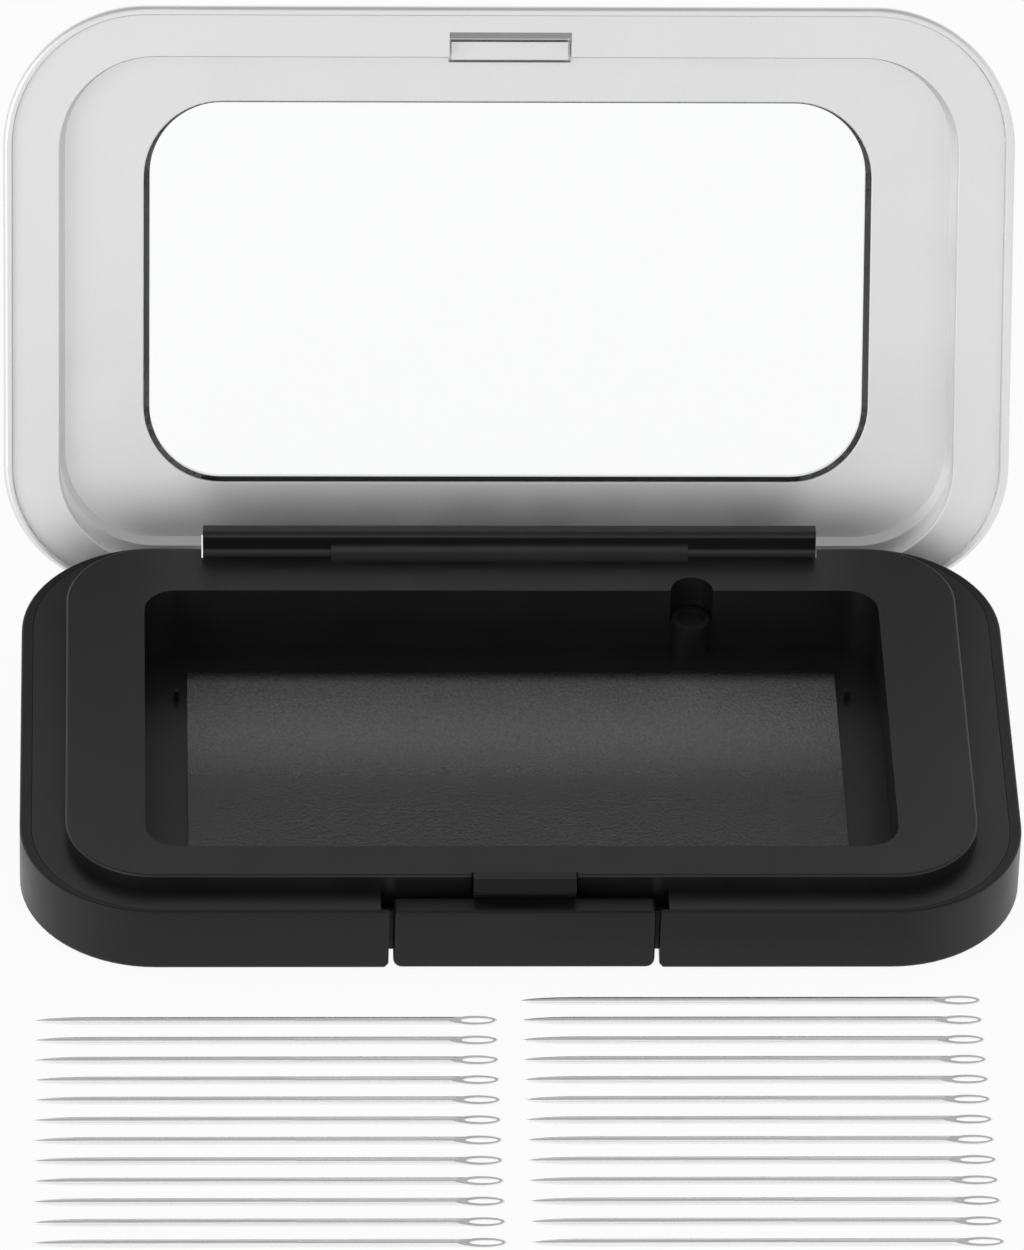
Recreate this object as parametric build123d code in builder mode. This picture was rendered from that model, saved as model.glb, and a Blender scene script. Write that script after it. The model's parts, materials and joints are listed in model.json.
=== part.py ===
from build123d import *
import os
from math import asin, cos, degrees, hypot, radians, sin, sqrt

# Magnetic needle case, standing open with its needles laid out in front of it.
# Sizes are millimetres. X runs to the right, Y to the back and Z up.
# The origin is the middle of the base's underside.

# Base shell
base_width = 108.0
base_depth = 62.8
base_height = 8.0
base_corner_radius = 14.6
base_foot_radius = 0.6
base_brow_radius = 0.25
shell_wall = 2.0
shell_floor = 1.0
side_rim = 1.25
end_rim = 0.4
seam_radius = 13.8
seam_gap = 0.05

# Inner tray
flange_thickness = 1.5
plateau_rise = 1.86
plateau_side_inset = 4.9
plateau_front_inset = 3.92
plateau_rear_inset = 2.4
plateau_radius = 9.4
plateau_edge_radius = 0.3
tray_wall = 1.2
tray_floor = 0.8
recess_width = 81.0
recess_front_inset = 8.8
recess_rear_inset = 10.0
recess_radius = 3.5
post_x = 20.0
post_radius = 2.1
post_height = 4.2
post_dish_radius = 1.5
post_dish_depth = 0.4
post_notch_radius = 2.35
post_notch_sill = 3.8
nub_side_inset = 3.5
nub_rear_inset = 9.0
nub_width = 0.55
nub_height = 1.2

# Magnetic sheet on the floor of the recess
sheet_width = 71.6
sheet_front_margin = 4.7
sheet_rear_margin = 4.6
sheet_corner_radius = 0.6
sheet_thickness = 0.35
adhesive_thickness = 0.05

# Hinge
hinge_inset = 0.765
hinge_drop = 4.1
hinge_clearance = 0.12
pin_radius = 0.7
pin_grip = 5.6
pin_seat_gap = 0.01
pin_running_gap = 0.05
pin_end_gap = 0.06
arm_width = 2.0
arm_front_reach = 0.9
arm_rear_reach = 0.85
arm_lap = 0.6
arm_root = 1.0
eye_radius = 1.6
eye_clearance = 0.18
bar_half_length = 34.0
bar_face_inset = 3.4
bar_drop = 1.4
bar_nose_radius = 0.6
bar_end_gap = 0.05
bar_end_slit = 0.16
bar_step = 0.15
bar_foot_chamfer = 1.2
bar_slot_inset = 4.2
side_foot_radius = 0.8
middle_foot_radius = 1.56
middle_foot_half_length = 19.8

# Release button
button_width = 28.0
button_thickness = 2.37
button_travel = 0.9
button_gap = 0.5
button_floor_gap = 0.15
button_top_gap = 0.1
button_foot_radius = 1.0
button_brow_radius = 0.6
button_edge_radius = 0.45
gap_flare = 0.6
gap_flare_height = 0.9
flange_cut_margin = 0.9
wing_reach = 2.5
wing_thickness = 0.6
wing_gap = 0.1
hook_width = 11.0
hook_side_gap = 0.2
hook_rise = 0.24
hook_lip_gap = 0.04
hook_lip_overlap = 0.2
hook_slot_depth = 0.47
hook_neck_thickness = 0.85
hook_nose_reach = 1.98
hook_slope_start = 0.93
hook_slope_drop = 0.85
hook_nose_height = 0.47
hook_undercut_drop = 0.28
hook_root_height = 4.0
hook_root_drop = 0.1
hook_root_lap = 0.6
hook_stop_gap = 0.05
spring_length = 6.0
spring_height = 2.5
spring_thickness = 0.15
spring_seat_gap = 0.02
spring_lift = 1.5

# Lid, measured as it lies closed on the base
lid_lean = 25.85
lid_side_overhang = 2.12
lid_front_overhang = 2.12
lid_rear_overhang = 0.9
lid_front_radius = 15.8
lid_rear_radius = 14.0
lid_gap = 0.15
rim_overlap = 0.8
rim_straight = 0.3
rim_width = 0.95
rear_rim_width = 0.6
rim_outer_radius = 0.45
rim_inner_radius = 0.1
liner_gap = 0.02
panel_depth = 3.95
liner_thickness = 0.7
cover_thickness = 1.1
border_width = 6.2
border_front_width = 5.8
border_rear_width = 2.8
recess_corner_radius = 10.6
border_edge_radius = 0.12
shelf_depth = 1.9
shelf_width = 1.53
panel_draft = 0.6
notch_gap = 0.8
window_width = 79.8
window_front_inset = 9.5
window_rear_inset = 10.8
window_radius = 8.0
reveal_side = 0.65
reveal_front = 0.15
reveal_rear = 0.5
reveal_edge_radius = 0.15
pane_margin = 1.6
pane_thickness = 0.35
pane_gap = 0.1
ring_thickness = 0.05
pocket_width = 13.56
pocket_depth = 2.35
pocket_groove_width = 0.3
pocket_groove_depth = 1.6
pocket_start_inset = 4.71
pocket_sill = 0.12
pocket_pad_inset = 2.3
ledge_start_inset = 1.6
ledge_end_inset = 0.98
ledge_thickness = 0.65
ledge_slope_inset = 0.83
ledge_slope_depth = 0.4

# Needles, laid out in two columns with their points to the left and their eyes turned to the front
needle_length = 49.2
needle_radius = 0.42
needle_point_length = 6.0
needle_axis_height = 0.45
needle_roll = 35.0
eye_length = 4.9
eye_width = 1.04
eye_thickness = 0.42
eye_ramp = 1.4
eye_hole_length = 3.4
eye_hole_width = 0.5
eye_hole_margin = 0.5
thread_groove_start = 27.5
thread_groove_width = 0.2
thread_groove_depth = 0.1
needle_pitch = 3.2
needle_last_row = 44.1
left_needles = 12
right_needles = 13
left_tip_x = -52.3
right_tip_x = -0.5

# Places that follow from the sizes above
flange_bottom = base_height - flange_thickness
plateau_top = base_height + plateau_rise
plateau_front = base_depth / 2 - plateau_front_inset
plateau_rear = base_depth / 2 - plateau_rear_inset
recess_front = base_depth / 2 - recess_front_inset
recess_rear = base_depth / 2 - recess_rear_inset
recess_floor = shell_floor + tray_floor
nub_x = recess_width / 2 - nub_side_inset
nub_y = recess_rear - nub_rear_inset
sheet_front = recess_front - sheet_front_margin
sheet_rear = recess_rear - sheet_rear_margin
post_top = recess_floor + post_height
hinge_y = base_depth / 2 - hinge_inset
hinge_z = base_height - hinge_drop
rim_level = base_height - rim_overlap
border_level = base_height + lid_gap
panel_level = border_level + panel_depth
cover_inside = panel_level + liner_thickness
lid_top = cover_inside + cover_thickness
lid_edge_radius = lid_top - rim_level - rim_straight
lid_width = base_width + 2 * lid_side_overhang
lid_front = base_depth / 2 + lid_front_overhang
lid_rear = base_depth / 2 + lid_rear_overhang
window_front = base_depth / 2 - window_front_inset
window_rear = base_depth / 2 - window_rear_inset
pocket_start = base_depth / 2 - pocket_start_inset
pocket_pad_front = base_depth / 2 - pocket_pad_inset
ledge_start = base_depth / 2 - ledge_start_inset
ledge_end = base_depth / 2 - ledge_end_inset
ledge_slope_end = base_depth / 2 - ledge_slope_inset
bar_face = base_depth / 2 - bar_face_inset
bar_top = lid_top - bar_drop
notch_front = bar_face - notch_gap
arm_outside = bar_half_length + hinge_clearance + arm_lap
arm_length = border_level + arm_root - hinge_z
hook_slot_rear = plateau_front - hook_slot_depth
neck_rear = hook_slot_rear + hook_stop_gap + button_travel

# The open lid's own directions: towards its front edge, and from its inside to its outside
lean = radians(lid_lean)
lid_forward = Vector(0, sin(lean), cos(lean))
lid_outward = Vector(0, cos(lean), -sin(lean))
lid_middle = Vector(0, hinge_y, hinge_z) + lid_forward * hinge_y


def lid_plane(level):
    """Plane across the open lid, at the height that level has when the lid is closed.

    Its y starts at the middle of the case and runs to the lid's front edge.
    """
    origin = lid_middle + lid_outward * (level - hinge_z)
    return Plane(origin=origin, x_dir=(1, 0, 0), z_dir=lid_outward * -1)


def lid_side_plane(x):
    """Plane square to the hinge: x to the lid's front edge, y the closed height."""
    origin = lid_middle - lid_outward * hinge_z + Vector(x, 0, 0)
    return Plane(origin=origin, x_dir=lid_forward, z_dir=(-1, 0, 0))


def rounded_outline(width, low, high, low_radius, high_radius):
    """Rectangle between two places along y, with its own corner radius at each end."""
    with Locations((0, (low + high) / 2)):
        Rectangle(width, high - low)
    fillet(vertices().group_by(Axis.Y)[-1], high_radius)
    fillet(vertices().group_by(Axis.Y)[0], low_radius)


def base_outline(side_inset, end_inset, radius):
    """Outline of the base, drawn in from its sides and from its front and back."""
    reach = base_depth / 2 - end_inset
    rounded_outline(base_width - 2 * side_inset, -reach, reach, radius, radius)


def lid_form(side_inset, rear_inset, bottom, top, edge_radius):
    """Rounded form of the lid, drawn in from its outline, with its outer edge rounded over."""
    with BuildSketch(lid_plane(bottom)) as outline:
        rounded_outline(
            lid_width - 2 * side_inset,
            -(lid_rear - rear_inset),
            lid_front - side_inset,
            lid_rear_radius - side_inset,
            lid_front_radius - side_inset,
        )
    extrude(outline.sketch, amount=bottom - top)
    outer_face = faces().sort_by(Axis((0, 0, 0), lid_outward))[-1]
    fillet(outer_face.edges(), edge_radius)


def window_outline(side_margin, front_margin, rear_margin):
    """Outline of the window, grown by a margin at its sides, front and rear."""
    radius = window_radius + side_margin
    rounded_outline(
        window_width + 2 * side_margin,
        -(window_rear + rear_margin),
        window_front + front_margin,
        radius,
        radius,
    )


# Base shell: a shallow tub, open at the front for the button and at the back for the hinge
button_half_gap = button_width / 2 + button_gap
cutout_half_length = arm_outside + hinge_clearance
with BuildPart() as base_shell:
    with BuildSketch(Plane.XY):
        base_outline(0, 0, base_corner_radius)
    extrude(amount=base_height)
    fillet(faces().sort_by(Axis.Z)[0].edges(), base_foot_radius)
    fillet(faces().sort_by(Axis.Z)[-1].edges(), base_brow_radius)
    with BuildSketch(Plane.XY.offset(shell_floor)):
        base_outline(shell_wall, shell_wall, base_corner_radius - shell_wall)
    extrude(amount=base_height, mode=Mode.SUBTRACT)
    with BuildSketch(Plane.XY.offset(flange_bottom)):
        base_outline(side_rim, end_rim, seam_radius)
    extrude(amount=base_height, mode=Mode.SUBTRACT)
    with BuildSketch(Plane.XZ.offset(base_depth / 2)):
        with BuildLine():
            Polyline(
                (-button_half_gap - gap_flare, 0),
                (button_half_gap + gap_flare, 0),
                (button_half_gap, gap_flare_height),
                (button_half_gap, base_height),
                (-button_half_gap, base_height),
                (-button_half_gap, gap_flare_height),
                close=True,
            )
        make_face()
    extrude(amount=-(button_thickness + button_travel + hook_side_gap), mode=Mode.SUBTRACT)
    with BuildSketch(Plane.XY.offset(shell_floor)):
        with Locations((0, base_depth / 2)):
            Rectangle(2 * cutout_half_length, 2 * bar_face_inset)
    extrude(amount=base_height, mode=Mode.SUBTRACT)

# Inner tray: flange, plateau, recess, post, nubs and the hinge bar in one moulding
edge_centre_y = lid_rear - lid_edge_radius
edge_centre_z = lid_top - lid_edge_radius
bar_round = lid_edge_radius - bar_step
bar_rear = edge_centre_y + bar_round
bar_top_rear = edge_centre_y + sqrt(bar_round**2 - (bar_top - edge_centre_z) ** 2)
bar_sweep = degrees(asin((bar_top - edge_centre_z) / bar_round))
arm_inside = arm_outside - arm_width
with BuildPart() as inner_tray:
    with BuildSketch(Plane.XY.offset(flange_bottom)):
        rounded_outline(
            base_width - 2 * plateau_side_inset,
            -plateau_front,
            plateau_rear,
            plateau_radius,
            plateau_radius,
        )
    extrude(amount=plateau_top - flange_bottom)
    fillet(faces().sort_by(Axis.Z)[-1].edges(), plateau_edge_radius)
    with BuildSketch(Plane.XY.offset(flange_bottom)):
        base_outline(side_rim + seam_gap, end_rim + seam_gap, seam_radius - seam_gap)
    extrude(amount=flange_thickness)
    # Walls and floor of the recess, down to the floor of the shell
    with BuildSketch(Plane.XY.offset(shell_floor)):
        rounded_outline(
            recess_width + 2 * tray_wall,
            -(recess_front + tray_wall),
            recess_rear + tray_wall,
            recess_radius + tray_wall,
            recess_radius + tray_wall,
        )
    extrude(amount=flange_bottom - shell_floor)
    with BuildSketch(Plane.XY.offset(shell_floor)):
        with Locations((post_x, recess_rear)):
            Circle(post_notch_radius + tray_wall)
        with Locations((0, -plateau_front + tray_wall / 2)):
            Rectangle(2 * (button_half_gap + flange_cut_margin), tray_wall)
    extrude(amount=flange_bottom - shell_floor)
    with BuildSketch(Plane.XY.offset(recess_floor)):
        rounded_outline(recess_width, -recess_front, recess_rear, recess_radius, recess_radius)
    extrude(amount=plateau_top - recess_floor, mode=Mode.SUBTRACT)
    # Round notch in the back wall of the recess, with the dished post that stands in it
    with BuildSketch(Plane.XY.offset(recess_floor + post_notch_sill)):
        with Locations((post_x, recess_rear)):
            Circle(post_notch_radius)
    extrude(amount=plateau_top - recess_floor, mode=Mode.SUBTRACT)
    with BuildSketch(Plane.XY.offset(recess_floor)):
        with Locations((nub_x, nub_y), (-nub_x, nub_y)):
            Rectangle(nub_width, nub_width)
    extrude(amount=nub_height)
    with BuildSketch(Plane.XY.offset(recess_floor)):
        with Locations((post_x, recess_rear)):
            Circle(post_radius)
    extrude(amount=post_height)
    with BuildSketch(Plane.XY.offset(post_top)):
        with Locations((post_x, recess_rear)):
            Circle(post_dish_radius)
    extrude(amount=-post_dish_depth, mode=Mode.SUBTRACT)
    # Flange cut behind the button, and the slot that the button's neck moves into
    with BuildSketch(Plane.XY.offset(flange_bottom)):
        with Locations((0, -base_depth / 2)):
            Rectangle(2 * (button_half_gap + flange_cut_margin), 2 * plateau_front_inset)
    extrude(amount=flange_thickness, mode=Mode.SUBTRACT)
    with BuildSketch(Plane.XY.offset(shell_floor)):
        with Locations((0, -plateau_front)):
            Rectangle(hook_width + 2 * hook_side_gap, 2 * hook_slot_depth)
    extrude(amount=plateau_top, mode=Mode.SUBTRACT)
    # Hinge bar: upright face at the front, rounded at the back like the closed lid's edge
    with BuildSketch(Plane.YZ):
        with BuildLine():
            CenterArc((edge_centre_y, edge_centre_z), bar_round, 0, bar_sweep)
            Line((bar_top_rear, bar_top), (bar_face + bar_nose_radius, bar_top))
            CenterArc((bar_face + bar_nose_radius, bar_top - bar_nose_radius), bar_nose_radius, 90, 90)
            Polyline(
                (bar_face, bar_top - bar_nose_radius),
                (bar_face, shell_floor),
                (bar_rear - bar_foot_chamfer, shell_floor),
                (bar_rear, shell_floor + bar_foot_chamfer),
                (bar_rear, edge_centre_z),
            )
        make_face()
    extrude(amount=bar_half_length, both=True)
    feet = ((bar_half_length, side_foot_radius), (middle_foot_half_length, middle_foot_radius))
    for half_length, radius in feet:
        with BuildSketch(Plane.YZ):
            with BuildLine():
                CenterArc((bar_face - radius, plateau_top + radius), radius, 270, 90)
                Polyline(
                    (bar_face, plateau_top + radius),
                    (bar_face, plateau_top),
                    (bar_face - radius, plateau_top),
                )
            make_face()
        extrude(amount=half_length, both=True)
    # Slots at the ends of the bar for the lid's hinge arms, and the seats of the pins
    arm_slot_front = hinge_y - eye_radius - eye_clearance
    arm_slot_inside = arm_inside - hinge_clearance
    arm_slot_top = hinge_z + hypot(arm_front_reach, arm_length) + hinge_clearance
    for side in (-1, 1):
        with BuildSketch(Plane.XY.offset(shell_floor)):
            with Locations((side * (bar_half_length + bar_end_slit / 2), base_depth / 2)):
                Rectangle(bar_end_slit, 2 * bar_slot_inset)
            with Locations((side * (bar_half_length + cutout_half_length) / 2, base_depth / 2)):
                Rectangle(
                    cutout_half_length - bar_half_length,
                    2 * (base_depth / 2 - arm_slot_front),
                )
        extrude(amount=lid_top, mode=Mode.SUBTRACT)
        with BuildSketch(Plane.XY.offset(shell_floor)):
            with Locations((side * (arm_slot_inside + cutout_half_length) / 2, base_depth / 2)):
                Rectangle(
                    cutout_half_length - arm_slot_inside,
                    2 * (base_depth / 2 - arm_slot_front),
                )
        extrude(amount=arm_slot_top - shell_floor, mode=Mode.SUBTRACT)
        with BuildSketch(Plane.YZ.offset(side * (arm_slot_inside - pin_grip))):
            with Locations((hinge_y, hinge_z)):
                Circle(pin_radius + pin_seat_gap)
        extrude(amount=side * pin_grip, mode=Mode.SUBTRACT)

# Magnetic sheet and the film that holds it to the tray
with BuildPart() as sheet_adhesive:
    with BuildSketch(Plane.XY.offset(recess_floor)):
        rounded_outline(
            sheet_width, -sheet_front, sheet_rear, sheet_corner_radius, sheet_corner_radius
        )
    extrude(amount=adhesive_thickness)

with BuildPart() as magnetic_sheet:
    with BuildSketch(Plane.XY.offset(recess_floor + adhesive_thickness)):
        rounded_outline(
            sheet_width, -sheet_front, sheet_rear, sheet_corner_radius, sheet_corner_radius
        )
    extrude(amount=sheet_thickness)

# Release button: press plate, the wings that keep it in the shell, and the neck with its hook
button_bottom = button_floor_gap
button_top = base_height - button_top_gap
hook_top = plateau_top + hook_rise
nose_front = plateau_front + hook_nose_reach
nose_top = hook_top - hook_slope_drop
neck_front = neck_rear + hook_neck_thickness
with BuildPart() as release_button:
    with BuildSketch(Plane.XZ.offset(base_depth / 2)):
        with Locations((0, (button_bottom + button_top) / 2)):
            Rectangle(button_width, button_top - button_bottom)
        fillet(vertices().group_by(Axis.Y)[0], button_foot_radius)
        fillet(vertices().group_by(Axis.Y)[-1], button_brow_radius)
    extrude(amount=-button_thickness)
    fillet(faces().sort_by(Axis.Y)[0].edges(), button_edge_radius)
    wing_bottom = shell_floor + wing_gap
    wing_top = flange_bottom - wing_gap
    with BuildSketch(Plane.XZ.offset(base_depth / 2 - shell_wall - wing_gap)):
        with Locations((0, (wing_bottom + wing_top) / 2)):
            Rectangle(button_width + 2 * wing_reach, wing_top - wing_bottom)
    extrude(amount=-wing_thickness)
    with BuildSketch(Plane.YZ):
        with BuildLine():
            Polyline(
                (-neck_rear, hook_root_height),
                (-neck_rear, plateau_top + hook_lip_gap),
                (-plateau_front + hook_lip_overlap, plateau_top + hook_lip_gap),
                (-plateau_front + hook_lip_overlap, hook_top),
                (-plateau_front - hook_slope_start, hook_top),
                (-nose_front, nose_top),
                (-nose_front, nose_top - hook_nose_height),
                (-neck_front, nose_top - hook_nose_height - hook_undercut_drop),
                (-neck_front, button_top - hook_root_drop),
                (-neck_front - hook_root_lap, button_top - hook_root_drop),
                (-neck_front - hook_root_lap, hook_root_height),
                close=True,
            )
        make_face()
    extrude(amount=hook_width / 2, both=True)

# Return springs: two bowed steel strips between the button and the front skirt of the tray
spring_back = -plateau_front - spring_seat_gap
spring_front = -(base_depth / 2 - shell_wall - wing_gap - wing_thickness) + spring_seat_gap
spring_x = (hook_width / 2 + button_width / 2) / 2
button_springs = {}
for side_name, side in (("left", -1), ("right", 1)):
    with BuildPart() as button_spring:
        with BuildSketch(Plane.XY.offset(shell_floor + spring_lift)):
            middle = side * spring_x
            with BuildLine():
                ThreePointArc(
                    (middle - spring_length / 2, spring_front),
                    (middle, spring_back),
                    (middle + spring_length / 2, spring_front),
                )
                Line(
                    (middle + spring_length / 2, spring_front),
                    (middle + spring_length / 2 - spring_thickness, spring_front),
                )
                ThreePointArc(
                    (middle + spring_length / 2 - spring_thickness, spring_front),
                    (middle, spring_back - spring_thickness),
                    (middle - spring_length / 2 + spring_thickness, spring_front),
                )
                Line(
                    (middle - spring_length / 2 + spring_thickness, spring_front),
                    (middle - spring_length / 2, spring_front),
                )
            make_face()
        extrude(amount=spring_height)
    button_springs[side_name] = button_spring

# Hinge pins: pressed into the ends of the bar, running through the eyes of the lid's arms
hinge_pins = {}
for side_name, side in (("left", -1), ("right", 1)):
    with BuildPart() as hinge_pin:
        with BuildSketch(Plane.YZ.offset(side * (arm_slot_inside - pin_grip + pin_seat_gap))):
            with Locations((hinge_y, hinge_z)):
                Circle(pin_radius)
        pin_end = cutout_half_length - pin_end_gap
        extrude(amount=side * (pin_end - arm_slot_inside + pin_grip - pin_seat_gap))
    hinge_pins[side_name] = hinge_pin

# Hollow of the lid cover, and the sunk space of the liner that takes the plateau
with BuildPart() as cover_hollow:
    lid_form(rim_width, rear_rim_width, rim_level, cover_inside, lid_edge_radius - rim_width)

with BuildPart() as liner_sink:
    sink_rear = lid_rear - border_rear_width
    sink_front = lid_front - border_front_width
    shelf_level = border_level + shelf_depth
    with BuildSketch(lid_plane(border_level)):
        rounded_outline(
            lid_width - 2 * border_width,
            -sink_rear,
            sink_front,
            recess_corner_radius,
            recess_corner_radius,
        )
    extrude(amount=-shelf_depth)
    # Drafted wall from the shelf down to the panel
    for level, inset in ((shelf_level, 0), (panel_level, panel_draft)):
        with BuildSketch(lid_plane(level)):
            rounded_outline(
                lid_width - 2 * (border_width + inset),
                -(sink_rear - shelf_width - inset),
                sink_front - inset,
                recess_corner_radius - inset,
                recess_corner_radius - inset,
            )
    loft(ruled=True)
    # Block that carries the near end of the catch pocket
    with BuildSketch(lid_plane(border_level + pocket_depth)):
        with Locations((0, (pocket_start + sink_front) / 2)):
            Rectangle(pocket_width, sink_front - pocket_start)
    extrude(amount=pocket_depth - panel_depth, mode=Mode.SUBTRACT)

with BuildPart() as hinge_notch:
    with BuildSketch(lid_plane(rim_level)):
        with Locations((0, -(notch_front + lid_rear))):
            Rectangle(2 * (bar_half_length + bar_end_gap), 2 * lid_rear)
    extrude(amount=rim_level - lid_top)

# Lid cover: rounded silver shell with its window opening and the notch for the hinge bar
with BuildPart() as lid_cover:
    lid_form(0, 0, rim_level, lid_top, lid_edge_radius)
    add(cover_hollow.part, mode=Mode.SUBTRACT)
    rim_face = faces().sort_by(Axis((0, 0, 0), lid_outward))[0]
    fillet(rim_face.inner_wires()[0].edges(), rim_inner_radius)
    rim_face = faces().sort_by(Axis((0, 0, 0), lid_outward))[0]
    fillet(rim_face.outer_wire().edges(), rim_outer_radius)
    with BuildSketch(lid_plane(cover_inside)):
        window_outline(0, 0, 0)
    extrude(amount=-cover_thickness, mode=Mode.SUBTRACT)
    add(hinge_notch.part, mode=Mode.SUBTRACT)

# Lid liner: flat border, sunk panel, window frame, catch pocket and the two hinge arms
liner_side = rim_width + liner_gap
liner_rear = rear_rim_width + liner_gap
with BuildPart() as lid_liner:
    lid_form(liner_side, liner_rear, rim_level, cover_inside, lid_edge_radius - liner_side)
    with BuildSketch(lid_plane(rim_level)):
        Rectangle(2 * lid_width, 2 * lid_width)
    extrude(amount=rim_level - border_level, mode=Mode.SUBTRACT)
    add(liner_sink.part, mode=Mode.SUBTRACT)
    border_face = faces().sort_by(Axis((0, 0, 0), lid_outward))[0]
    fillet(border_face.inner_wires()[0].edges(), border_edge_radius)
    with BuildSketch(lid_plane(panel_level)):
        window_outline(reveal_side, reveal_front, reveal_rear)
    extrude(amount=-liner_thickness, mode=Mode.SUBTRACT)
    panel_place = panel_level - hinge_z
    panel_faces = faces().filter_by_position(
        Axis(lid_middle, lid_outward), panel_place - pane_gap, panel_place + pane_gap
    )
    panel_face = panel_faces.sort_by(SortBy.AREA)[-1]
    fillet(panel_face.inner_wires()[0].edges(), reveal_edge_radius)
    with BuildSketch(lid_plane(cover_inside)):
        rebate = pane_margin + pane_gap
        window_outline(rebate, rebate, rebate)
    extrude(amount=pane_thickness + ring_thickness, mode=Mode.SUBTRACT)
    add(hinge_notch.part, mode=Mode.SUBTRACT)
    with BuildSketch(lid_plane(border_level)):
        with Locations((0, (pocket_start + ledge_start) / 2)):
            Rectangle(pocket_width, ledge_start - pocket_start)
    extrude(amount=-pocket_depth, mode=Mode.SUBTRACT)
    with BuildSketch(lid_plane(border_level + ledge_thickness)):
        with Locations((0, (pocket_start + ledge_end) / 2)):
            Rectangle(pocket_width, ledge_end - pocket_start)
    extrude(amount=ledge_thickness - pocket_depth, mode=Mode.SUBTRACT)
    with BuildSketch(lid_side_plane(0)):
        with BuildLine():
            Polyline(
                (ledge_start, border_level),
                (ledge_slope_end, border_level),
                (ledge_start, border_level + ledge_slope_depth),
                close=True,
            )
        make_face()
    extrude(amount=pocket_width / 2, both=True, mode=Mode.SUBTRACT)
    with BuildSketch(lid_plane(border_level + pocket_depth)):
        pad_rear = pocket_start + pocket_sill + pocket_groove_width
        with Locations((0, (pad_rear + pocket_pad_front) / 2)):
            Rectangle(pocket_width, pocket_pad_front - pad_rear + 2 * pocket_groove_width)
            Rectangle(
                pocket_width - 2 * pocket_groove_width,
                pocket_pad_front - pad_rear,
                mode=Mode.SUBTRACT,
            )
    extrude(amount=-pocket_groove_depth, mode=Mode.SUBTRACT)
    for arm_edge in (arm_outside, -arm_inside):
        with BuildSketch(lid_side_plane(arm_edge)):
            with Locations((-hinge_y, hinge_z)):
                Circle(eye_radius)
            with Locations((-hinge_y + (arm_front_reach - arm_rear_reach) / 2, hinge_z + arm_length / 2)):
                Rectangle(arm_front_reach + arm_rear_reach, arm_length)
        extrude(amount=arm_width)
        with BuildSketch(lid_side_plane(arm_edge)):
            with Locations((-hinge_y, hinge_z)):
                Circle(pin_radius + pin_running_gap)
        extrude(amount=arm_width, mode=Mode.SUBTRACT)

# Window pane, and the dark ring that holds it against the cover
with BuildPart() as window_pane:
    with BuildSketch(lid_plane(cover_inside - ring_thickness)):
        window_outline(pane_margin, pane_margin, pane_margin)
    extrude(amount=pane_thickness)

with BuildPart() as pane_adhesive:
    with BuildSketch(lid_plane(cover_inside)):
        window_outline(pane_margin, pane_margin, pane_margin)
    extrude(amount=ring_thickness)
    with BuildSketch(lid_plane(cover_inside)):
        window_outline(0, 0, 0)
    extrude(amount=ring_thickness, mode=Mode.SUBTRACT)


def make_needle(tip_x, y):
    """Hand sewing needle along X: pointed shaft, long groove and a flattened eye."""
    roll = radians(needle_roll)
    eye_plane = Plane(
        origin=(tip_x, y, needle_axis_height), x_dir=(1, 0, 0), z_dir=(0, -sin(roll), cos(roll))
    )
    eye_middle = needle_length - eye_length / 2
    neck_x = eye_middle - eye_length / 2 * sqrt(1 - (2 * needle_radius / eye_width) ** 2)
    neck_angle = 180 - degrees(asin(2 * needle_radius / eye_width))
    hole_start = needle_length - eye_hole_margin - eye_hole_length
    with BuildPart() as needle:
        with BuildSketch(eye_plane):
            with BuildLine():
                EllipticalCenterArc(
                    (needle_point_length, 0),
                    needle_point_length,
                    needle_radius,
                    start_angle=90,
                    arc_size=90,
                )
                Line((needle_point_length, needle_radius), (neck_x, needle_radius))
                EllipticalCenterArc(
                    (eye_middle, 0),
                    eye_length / 2,
                    eye_width / 2,
                    start_angle=0,
                    arc_size=neck_angle,
                )
                Line((0, 0), (needle_length, 0))
            make_face()
        revolve(axis=Axis((tip_x, y, needle_axis_height), (1, 0, 0)))
        # Flats on both faces of the eye
        with BuildSketch(Plane(origin=eye_plane.origin, x_dir=(1, 0, 0), z_dir=-eye_plane.y_dir)):
            for face in (-1, 1):
                with BuildLine():
                    Polyline(
                        (neck_x - eye_ramp, face * eye_width / 2),
                        (neck_x - eye_ramp, face * needle_radius),
                        (neck_x, face * eye_thickness / 2),
                        (needle_length, face * eye_thickness / 2),
                        (needle_length, face * eye_width / 2),
                        close=True,
                    )
                make_face()
        extrude(amount=eye_width / 2, both=True, mode=Mode.SUBTRACT)
        with BuildSketch(eye_plane):
            with Locations((hole_start + eye_hole_length / 2, 0)):
                Ellipse(eye_hole_length / 2, eye_hole_width / 2)
        extrude(amount=eye_thickness, both=True, mode=Mode.SUBTRACT)
        with BuildSketch(eye_plane.offset(needle_radius - thread_groove_depth)):
            with Locations(((thread_groove_start + hole_start) / 2, 0)):
                Rectangle(hole_start - thread_groove_start, thread_groove_width)
        extrude(amount=thread_groove_depth, mode=Mode.SUBTRACT)
    return needle


pieces = {
    "base_shell": base_shell,
    "inner_tray": inner_tray,
    "magnetic_sheet": magnetic_sheet,
    "sheet_adhesive": sheet_adhesive,
    "release_button": release_button,
    "lid_cover": lid_cover,
    "lid_liner": lid_liner,
    "window_pane": window_pane,
    "pane_adhesive": pane_adhesive,
}
for side_name in ("left", "right"):
    pieces[f"button_spring_{side_name}"] = button_springs[side_name]
    pieces[f"hinge_pin_{side_name}"] = hinge_pins[side_name]

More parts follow.
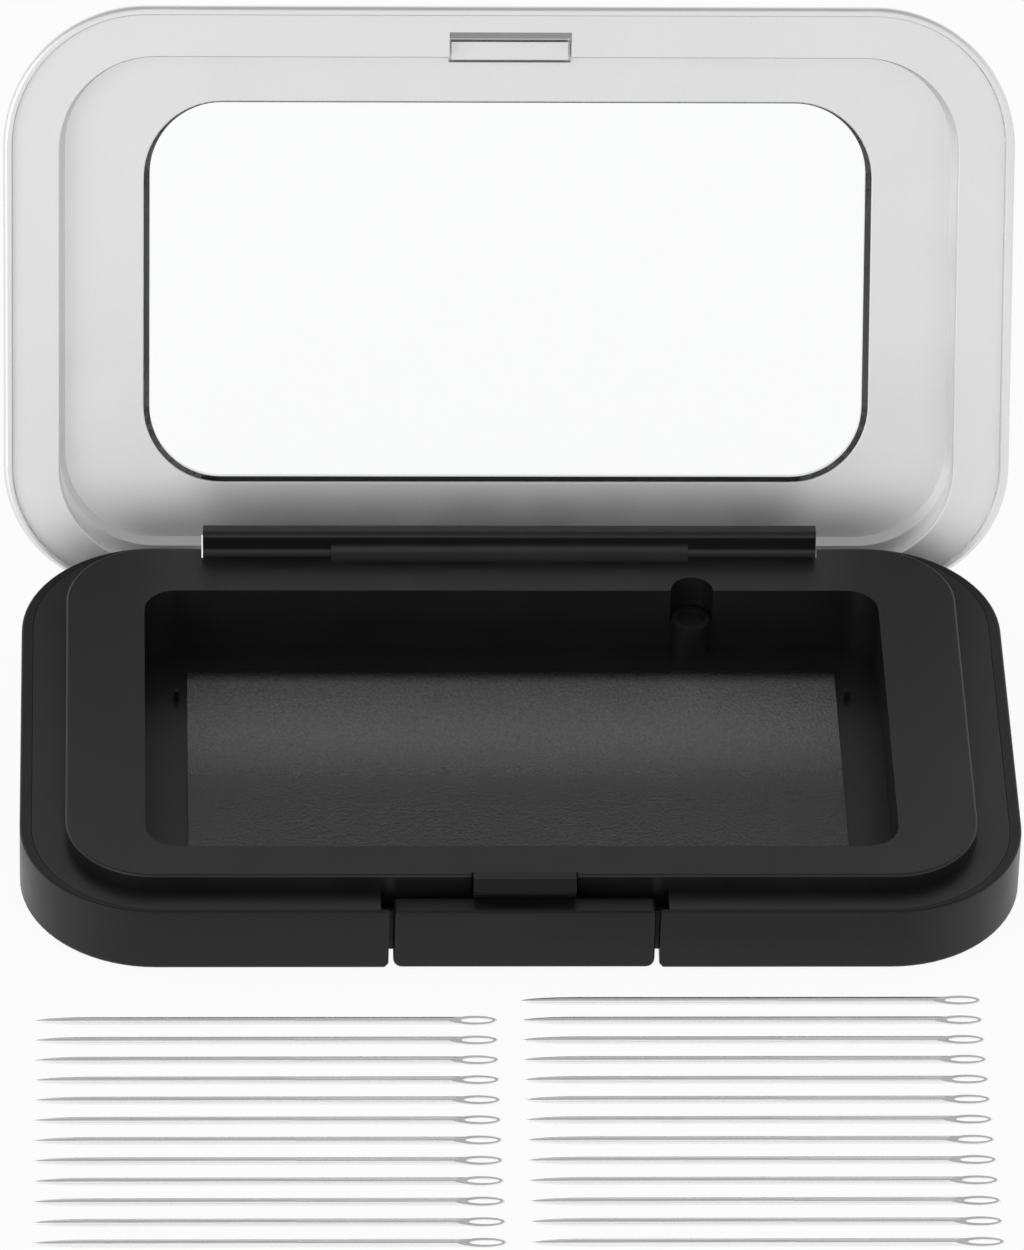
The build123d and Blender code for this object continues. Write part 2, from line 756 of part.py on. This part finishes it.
last_row_y = -(base_depth / 2 + needle_last_row)
columns = (("left", left_tip_x, left_needles), ("right", right_tip_x, right_needles))
for column, tip_x, count in columns:
    for row in range(count):
        row_y = last_row_y + (count - 1 - row) * needle_pitch
        pieces[f"needle_{column}_{row + 1:02d}"] = make_needle(tip_x, row_y)

os.makedirs("parts", exist_ok=True)
for name, piece in pieces.items():
    piece.part.label = name
    export_step(piece.part, f"parts/{name}.step")
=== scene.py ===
import json
from math import cos, radians, sin

import bpy
from mathutils import Matrix, Vector


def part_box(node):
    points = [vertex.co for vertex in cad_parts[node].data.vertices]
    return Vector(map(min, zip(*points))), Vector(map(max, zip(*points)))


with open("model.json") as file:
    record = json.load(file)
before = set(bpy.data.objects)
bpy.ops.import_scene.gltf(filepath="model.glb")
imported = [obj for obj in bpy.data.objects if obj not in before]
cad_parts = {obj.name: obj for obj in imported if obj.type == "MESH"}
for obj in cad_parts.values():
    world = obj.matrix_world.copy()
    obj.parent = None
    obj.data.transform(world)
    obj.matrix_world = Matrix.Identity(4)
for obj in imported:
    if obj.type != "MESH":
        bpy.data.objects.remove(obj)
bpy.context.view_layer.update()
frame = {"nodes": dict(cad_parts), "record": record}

# Magnetic needle case: finishes, floor, light and camera.
# Lengths are in metres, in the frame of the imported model; the lens and sensor are in millimetres.

MM = 0.001

# Camera that stands where the photograph was taken from
CAMERA_PLACE = Vector((-44.3, -872.4, 720.17)) * MM
CAMERA_AZIMUTH = radians(2.851)
CAMERA_ELEVATION = radians(38.631)
CAMERA_ROLL = radians(1.806)
CAMERA_LENS = 297.83
CAMERA_SENSOR = 36.0
CAMERA_NEAR = 0.05
CAMERA_FAR = 20.0

# Light: a white surround that grows darker overhead, with one wide soft lamp at the front left
SURROUND_LEVEL = 1.0
OVERHEAD_LEVEL = 0.42
SURROUND_TOP = radians(25.0)
OVERHEAD_START = radians(62.0)
FLOOR_ALBEDO = 0.86
FLOOR_GLOW = 0.93
FLOOR_SIZE = 6.0
LAMP_SIZE = 0.7
LAMP_POWER = 2.2
LAMP_PLACE = Vector((-0.75, -0.8, 0.55))

# Gloss of the black plastic: the tray is moulded smoother than the shell and its button
TRAY_GLOSS = 0.41
SHELL_GLOSS = 0.28
SHELL_NODES = ("base_shell", "release_button")

# Where a painted sheen makes the magnetic sheet paler, as place from its back edge forwards and share of
# the paler tint
PAINTED_SHEEN_BAND = ((0.0, 0.0), (0.08, 1.0), (0.27, 0.9), (0.64, 0.0))

# Part of a noise's range in which nearly all of its values lie
NOISE_LOW = 0.3
NOISE_HIGH = 0.7


def grey(level):
    """An opaque neutral colour."""
    return (level, level, level, 1.0)


def add_node(tree, kind, inputs=None, **settings):
    """A node with its inputs and settings; an input is a value or another node's output."""
    node = tree.nodes.new(kind)
    for setting, value in settings.items():
        setattr(node, setting, value)
    for socket, value in (inputs or {}).items():
        if isinstance(value, bpy.types.NodeSocket):
            tree.links.new(value, node.inputs[socket])
        else:
            node.inputs[socket].default_value = value
    return node


class Shader:
    """A new material with its Principled shader, and short ways to add nodes to it."""

    def __init__(self, name, **sockets):
        self.material = bpy.data.materials.new(name)
        self.material.use_nodes = True
        self.tree = self.material.node_tree
        self.surface = self.tree.nodes["Principled BSDF"]
        for socket, value in sockets.items():
            self.surface.inputs[socket.replace("_", " ")].default_value = value

    def link(self, output, socket):
        self.tree.links.new(output, self.surface.inputs[socket])

    def place(self, stretch=(1.0, 1.0, 1.0)):
        """Object coordinates, stretched so that a pattern can run long along one axis."""
        coordinates = add_node(self.tree, "ShaderNodeTexCoord")
        inputs = {"Vector": coordinates.outputs["Object"], "Scale": stretch}
        return add_node(self.tree, "ShaderNodeMapping", inputs).outputs["Vector"]

    def noise(self, size, detail=3.0, stretch=(1.0, 1.0, 1.0)):
        """Noise whose blotches are about this size, in metres."""
        inputs = {"Vector": self.place(stretch), "Scale": 1.0 / size, "Detail": detail}
        return add_node(self.tree, "ShaderNodeTexNoise", inputs).outputs["Fac"]

    def spread(self, noise, low, high):
        """The noise mapped to the range low to high."""
        inputs = {"Value": noise, "From Min": NOISE_LOW, "From Max": NOISE_HIGH}
        inputs |= {"To Min": low, "To Max": high}
        return add_node(self.tree, "ShaderNodeMapRange", inputs).outputs["Result"]

    def tint(self, factor, dark, pale):
        """A colour between two, by the factor."""
        ramp = add_node(self.tree, "ShaderNodeValToRGB", {"Fac": factor})
        for stop, colour in zip(ramp.color_ramp.elements, (dark, pale)):
            stop.color = (*colour, 1.0)
        return ramp.outputs["Color"]

    def bands(self, factor, levels):
        """Greys that ease into each other along the factor, from pairs of a place and a level."""
        ramp = add_node(self.tree, "ShaderNodeValToRGB", {"Fac": factor})
        ramp.color_ramp.interpolation = "EASE"
        stops = ramp.color_ramp.elements
        for i, (position, level) in enumerate(levels):
            stop = stops[i] if i < len(stops) else stops.new(position)
            stop.position = position
            stop.color = grey(level)
        return ramp.outputs["Color"]

    def blend(self, factor, first, second):
        """A mix of two colour outputs, by the factor."""
        inputs = {"Fac": factor, "Color1": first, "Color2": second}
        return add_node(self.tree, "ShaderNodeMixRGB", inputs).outputs["Color"]

    def grain(self, height, depth, strength=1.0):
        """Bump from a height, as deep as depth in metres."""
        inputs = {"Height": height, "Distance": depth, "Strength": strength}
        self.link(add_node(self.tree, "ShaderNodeBump", inputs).outputs["Normal"], "Normal")


def black_plastic(name, gloss):
    """Moulded black plastic with a fine satin grain."""
    shader = Shader(name, Specular_IOR_Level=gloss)
    blotches = shader.noise(size=6 * MM, detail=4.0)
    grain = shader.noise(size=0.16 * MM)
    colour = shader.tint(blotches, dark=(0.004, 0.004, 0.0045), pale=(0.007, 0.007, 0.0075))
    shader.link(colour, "Base Color")
    shader.link(shader.spread(blotches, low=0.33, high=0.41), "Roughness")
    shader.grain(grain, depth=0.006 * MM, strength=0.6)
    return shader.material


def magnet_film():
    """Glossy black magnetic film with a fine pebbled grain, and a painted sheen that makes it paler toward
    the back.
    """
    shader = Shader("magnet_sheet", Specular_IOR_Level=0.64)
    pebbles = shader.noise(size=0.3 * MM, stretch=(1.0, 0.75, 1.0))
    patches = shader.noise(size=7 * MM)
    (_, front, _), (_, back, _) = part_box("magnetic_sheet")
    parts = add_node(shader.tree, "ShaderNodeSeparateXYZ", {"Vector": shader.place()})
    extent = {"Value": parts.outputs["Y"], "From Min": back, "From Max": front}
    forward = add_node(shader.tree, "ShaderNodeMapRange", extent).outputs["Result"]
    # Painted sheen: the film's colour turns paler toward the back, standing in for light falling on it and
    # its reflection
    painted_sheen = shader.bands(forward, PAINTED_SHEEN_BAND)
    film_tint = shader.tint(pebbles, dark=(0.001, 0.001, 0.0015), pale=(0.008, 0.008, 0.009))
    painted_sheen_tint = shader.tint(pebbles, dark=(0.04, 0.04, 0.042), pale=(0.145, 0.145, 0.148))
    shader.link(shader.blend(painted_sheen, film_tint, painted_sheen_tint), "Base Color")
    shader.link(shader.spread(patches, low=0.13, high=0.2), "Roughness")
    shader.grain(pebbles, depth=0.09 * MM)
    return shader.material


def adhesive_film():
    """Thin black adhesive."""
    shader = Shader("adhesive", Specular_IOR_Level=0.4)
    patches = shader.noise(size=1.2 * MM)
    colour = shader.tint(patches, dark=(0.01, 0.01, 0.011), pale=(0.02, 0.02, 0.021))
    shader.link(colour, "Base Color")
    shader.link(shader.spread(patches, low=0.35, high=0.6), "Roughness")
    shader.grain(patches, depth=0.01 * MM)
    return shader.material


def silver_coating():
    """Satin silver coating on moulded plastic, with fine metal flakes."""
    shader = Shader("silver_lid", Metallic=1.0)
    flakes = shader.noise(size=0.12 * MM, detail=2.0)
    drift = shader.noise(size=12 * MM)
    colour = shader.tint(flakes, dark=(0.745, 0.745, 0.748), pale=(0.835, 0.835, 0.838))
    shader.link(colour, "Base Color")
    shader.link(shader.spread(drift, low=0.4, high=0.46), "Roughness")
    shader.grain(flakes, depth=0.004 * MM, strength=0.5)
    return shader.material


def clear_plastic():
    """Clear polished window."""
    tint = (0.985, 0.99, 0.99, 1.0)
    shader = Shader("clear_pane", Base_Color=tint, Transmission_Weight=1.0, IOR=1.47)
    haze = shader.noise(size=10 * MM)
    shader.link(shader.spread(haze, low=0.0, high=0.02), "Roughness")
    shader.grain(haze, depth=0.004 * MM, strength=0.3)
    return shader.material


def polished_needle():
    """Plated needle steel, polished along its length."""
    shader = Shader("needle_steel", Metallic=1.0)
    strokes = shader.noise(size=0.2 * MM, stretch=(0.05, 1.0, 1.0))
    colour = shader.tint(strokes, dark=(0.84, 0.84, 0.85), pale=(0.95, 0.95, 0.96))
    shader.link(colour, "Base Color")
    shader.link(shader.spread(strokes, low=0.22, high=0.34), "Roughness")
    shader.grain(strokes, depth=0.004 * MM, strength=0.6)
    return shader.material


def spring_steel():
    """Plain drawn steel."""
    shader = Shader("spring_steel", Metallic=1.0)
    strokes = shader.noise(size=0.3 * MM, stretch=(0.1, 1.0, 1.0))
    colour = shader.tint(strokes, dark=(0.42, 0.42, 0.43), pale=(0.55, 0.55, 0.56))
    shader.link(colour, "Base Color")
    shader.link(shader.spread(strokes, low=0.28, high=0.42), "Roughness")
    shader.grain(strokes, depth=0.005 * MM, strength=0.6)
    return shader.material


def dress_nodes():
    """Gives every node the finish of its slot, with a matter black for the shell and the button."""
    finishes = {
        "black_plastic": black_plastic("black_plastic", TRAY_GLOSS),
        "magnet_sheet": magnet_film(),
        "adhesive": adhesive_film(),
        "silver_lid": silver_coating(),
        "clear_pane": clear_plastic(),
        "needle_steel": polished_needle(),
        "spring_steel": spring_steel(),
    }
    for part in frame["record"]["subparts"]:
        node = frame["nodes"][part["node"]]
        node.data.materials.clear()
        node.data.materials.append(finishes[part["material_slot"]])
    matt = black_plastic("black_plastic_matt", SHELL_GLOSS)
    for name in SHELL_NODES:
        frame["nodes"][name].data.materials[0] = matt


def seen_directly(tree):
    """1 for a ray from the camera, or from gloss or glass, and 0 for light that falls on the object."""
    path = add_node(tree, "ShaderNodeLightPath")
    seen = path.outputs["Is Camera Ray"]
    for ray in ("Is Glossy Ray", "Is Transmission Ray"):
        either = add_node(tree, "ShaderNodeMath", {0: seen, 1: path.outputs[ray]}, operation="MAXIMUM")
        seen = either.outputs["Value"]
    return seen


def make_floor():
    """Plain pale floor that keeps a soft shadow."""
    mesh = bpy.data.meshes.new("floor")
    half = FLOOR_SIZE / 2
    corners = [(-half, -half, 0), (half, -half, 0), (half, half, 0), (-half, half, 0)]
    mesh.from_pydata(corners, [], [(0, 1, 2, 3)])
    floor = bpy.data.objects.new("floor", mesh)
    bpy.context.scene.collection.objects.link(floor)
    material = bpy.data.materials.new("floor")
    material.use_nodes = True
    tree = material.node_tree
    tree.nodes.clear()
    diffuse = add_node(tree, "ShaderNodeBsdfDiffuse", {"Color": grey(FLOOR_ALBEDO)})
    glow = add_node(tree, "ShaderNodeEmission", {"Strength": SURROUND_LEVEL})
    share = add_node(tree, "ShaderNodeMath", {0: seen_directly(tree), 1: FLOOR_GLOW}, operation="MULTIPLY")
    layers = {"Fac": share.outputs["Value"], 1: diffuse.outputs["BSDF"], 2: glow.outputs["Emission"]}
    mix = add_node(tree, "ShaderNodeMixShader", layers)
    add_node(tree, "ShaderNodeOutputMaterial", {"Surface": mix.outputs["Shader"]})
    mesh.materials.append(material)


def make_world():
    """White surround up to a low height, fading to a dimmer sky overhead."""
    world = bpy.data.worlds.new("studio")
    bpy.context.scene.world = world
    world.use_nodes = True
    tree = world.node_tree
    tree.nodes.clear()
    direction = add_node(tree, "ShaderNodeTexCoord")
    parts = add_node(tree, "ShaderNodeSeparateXYZ", {"Vector": direction.outputs["Generated"]})
    levels = {
        "Value": parts.outputs["Z"],
        "From Min": sin(SURROUND_TOP),
        "From Max": sin(OVERHEAD_START),
        "To Min": SURROUND_LEVEL,
        "To Max": OVERHEAD_LEVEL,
    }
    fade = add_node(tree, "ShaderNodeMapRange", levels, interpolation_type="SMOOTHSTEP")
    white = {"Color": grey(1.0), "Strength": fade.outputs["Result"]}
    background = add_node(tree, "ShaderNodeBackground", white)
    add_node(tree, "ShaderNodeOutputWorld", {"Surface": background.outputs["Background"]})


def make_lamp():
    """Square area light that points at the case."""
    lamp = bpy.data.lights.new("lamp", "AREA")
    lamp.size = LAMP_SIZE
    lamp.energy = LAMP_POWER
    light = bpy.data.objects.new("lamp", lamp)
    light.location = LAMP_PLACE
    light.rotation_euler = (-LAMP_PLACE).to_track_quat("-Z", "Y").to_euler()
    bpy.context.scene.collection.objects.link(light)


def make_camera():
    """Camera of the photograph: a long lens, high in front of the case and a little to its left."""
    data = bpy.data.cameras.new("camera")
    data.lens = CAMERA_LENS
    data.sensor_width = CAMERA_SENSOR
    data.clip_start = CAMERA_NEAR
    data.clip_end = CAMERA_FAR
    flat = cos(CAMERA_ELEVATION)
    forward = Vector((sin(CAMERA_AZIMUTH) * flat, cos(CAMERA_AZIMUTH) * flat, -sin(CAMERA_ELEVATION)))
    level = Vector((cos(CAMERA_AZIMUTH), -sin(CAMERA_AZIMUTH), 0.0))
    upright = level.cross(forward)
    right = level * cos(CAMERA_ROLL) + upright * sin(CAMERA_ROLL)
    up = right.cross(forward)
    turn = Matrix((right, up, -forward)).transposed().to_4x4()
    camera = bpy.data.objects.new("camera", data)
    camera.matrix_world = Matrix.Translation(CAMERA_PLACE) @ turn
    bpy.context.scene.collection.objects.link(camera)
    bpy.context.scene.camera = camera


make_camera()
dress_nodes()
make_floor()
make_world()
make_lamp()
bpy.context.scene.view_settings.view_transform = "Standard"
